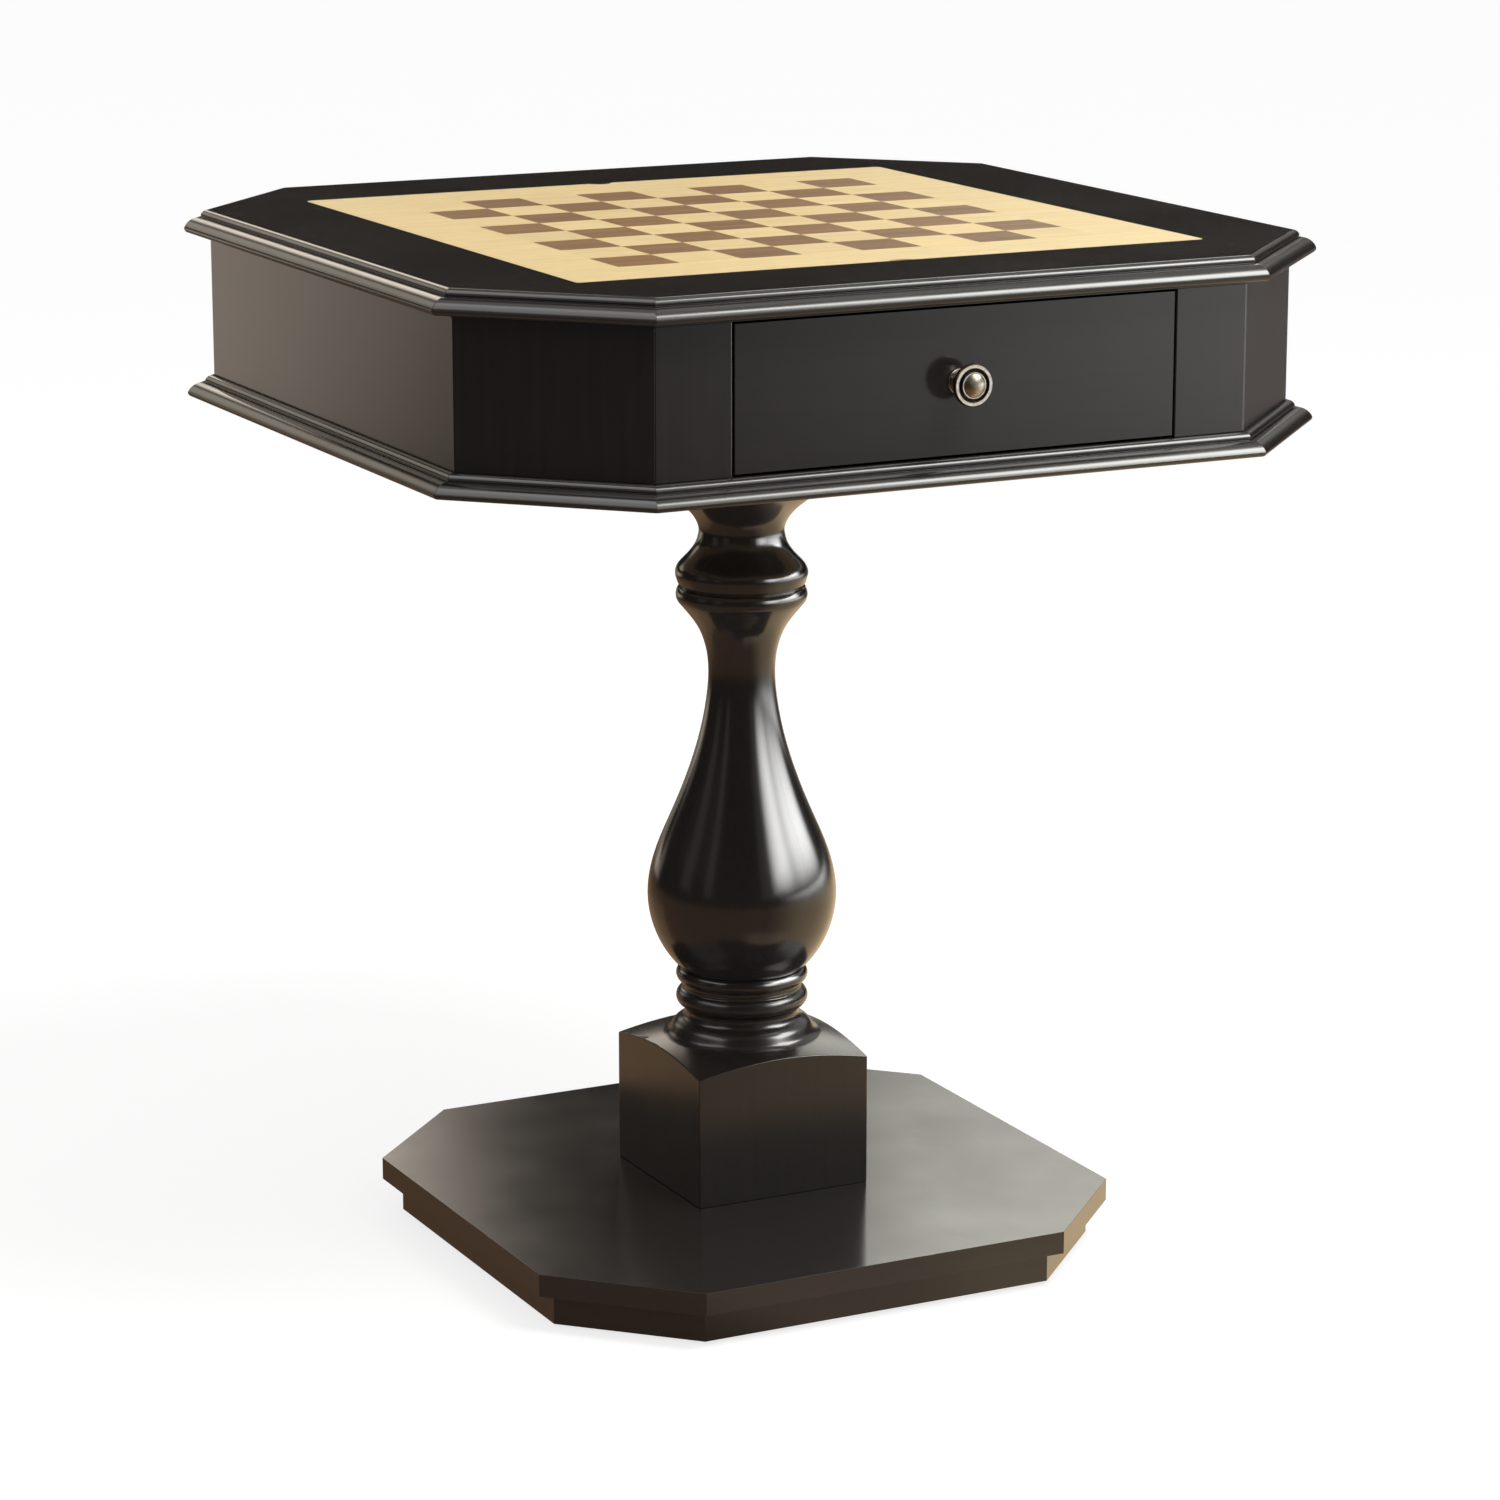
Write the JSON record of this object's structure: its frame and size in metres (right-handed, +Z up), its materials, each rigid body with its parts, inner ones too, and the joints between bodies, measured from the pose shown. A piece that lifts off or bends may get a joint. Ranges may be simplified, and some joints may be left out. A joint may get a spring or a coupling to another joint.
{
  "type": "games table",
  "caption": "Square pedestal games table with clipped corners, a front drawer, and a lift-out reversible board for chess and backgammon.",
  "frame": {"origin": "on the floor, under the column's line", "axes": "+Z up, -Y out of the front where the drawer opens, +X to the right of someone who stands behind the table's front facing along +Y"},
  "size_m": [0.7038, 0.7095, 0.787],
  "materials": {
    "black_lacquer": "satin black lacquer over hardwood",
    "bare_wood": "planed secondary timber, unfinished",
    "case_ply": "sealed plywood",
    "maple_veneer": "clear satin lacquer over pale maple veneer",
    "walnut_veneer": "clear satin lacquer over walnut veneer",
    "stained_veneer": "clear satin lacquer over stained veneer",
    "field_veneer": "clear satin lacquer over pale veneer",
    "board_wood": "solid pale edging over a board core",
    "aged_nickel": "aged nickel, rubbed bright on its edges",
    "zinc_steel": "zinc-plated steel",
    "glide_plastic": "moulded glide"
  },
  "bodies": {
    "table": {"apron_back": "black_lacquer", "apron_left": "black_lacquer", "apron_right": "black_lacquer", "base_glides": "glide_plastic", "base_lower_plate": "black_lacquer", "base_screws": "zinc_steel", "base_upper_plate": "black_lacquer", "board_support": "case_ply", "case_bottom": "case_ply", "cleat_screws": "zinc_steel", "column_block": "black_lacquer", "column_capital": "black_lacquer", "column_cleat": "black_lacquer", "column_head_block": "black_lacquer", "column_screws": "zinc_steel", "column_vase": "black_lacquer", "corner_panels": "black_lacquer", "drawer_kickers": "bare_wood", "drawer_runner_left": "bare_wood", "drawer_runner_right": "bare_wood", "drawer_stops": "bare_wood", "front_stile_left": "black_lacquer", "front_stile_right": "black_lacquer", "glue_blocks": "bare_wood", "lower_moulding_back": "black_lacquer", "lower_moulding_corners": "black_lacquer", "lower_moulding_front": "black_lacquer", "lower_moulding_left": "black_lacquer", "lower_moulding_right": "black_lacquer", "support_screws": "zinc_steel", "tie_rod": "zinc_steel", "tie_rod_nuts": "zinc_steel", "tie_rod_washers": "zinc_steel", "top_rail_back": "black_lacquer", "top_rail_front": "black_lacquer", "top_rail_left": "black_lacquer", "top_rail_right": "black_lacquer", "upper_moulding_back": "black_lacquer", "upper_moulding_corners": "black_lacquer", "upper_moulding_front": "black_lacquer", "upper_moulding_left": "black_lacquer", "upper_moulding_right": "black_lacquer"},
    "drawer": {"drawer_front": "black_lacquer", "drawer_side_left": "bare_wood", "drawer_side_right": "bare_wood", "drawer_back": "bare_wood", "drawer_bottom": "case_ply", "drawer_knob": "aged_nickel", "knob_screw": "zinc_steel"},
    "board": {"backgammon_field": "field_veneer", "backgammon_points_dark": "walnut_veneer", "backgammon_points_light": "maple_veneer", "backgammon_surround": "stained_veneer", "board_core": "board_wood", "board_edging_notched": "board_wood", "board_edging_plain": "board_wood", "chess_border": "maple_veneer", "chess_squares_dark": "walnut_veneer", "chess_squares_light": "maple_veneer"}
  },
  "joints": [
    {"name": "drawer_slide", "type": "slide", "parent": "table", "child": "drawer", "axis": [0, -1, 0], "range_m": [0, 0.3]},
    {"name": "board_lift", "type": "slide", "parent": "table", "child": "board", "axis": [0, 0, 1], "range_m": [0, 0.12]}
  ]
}
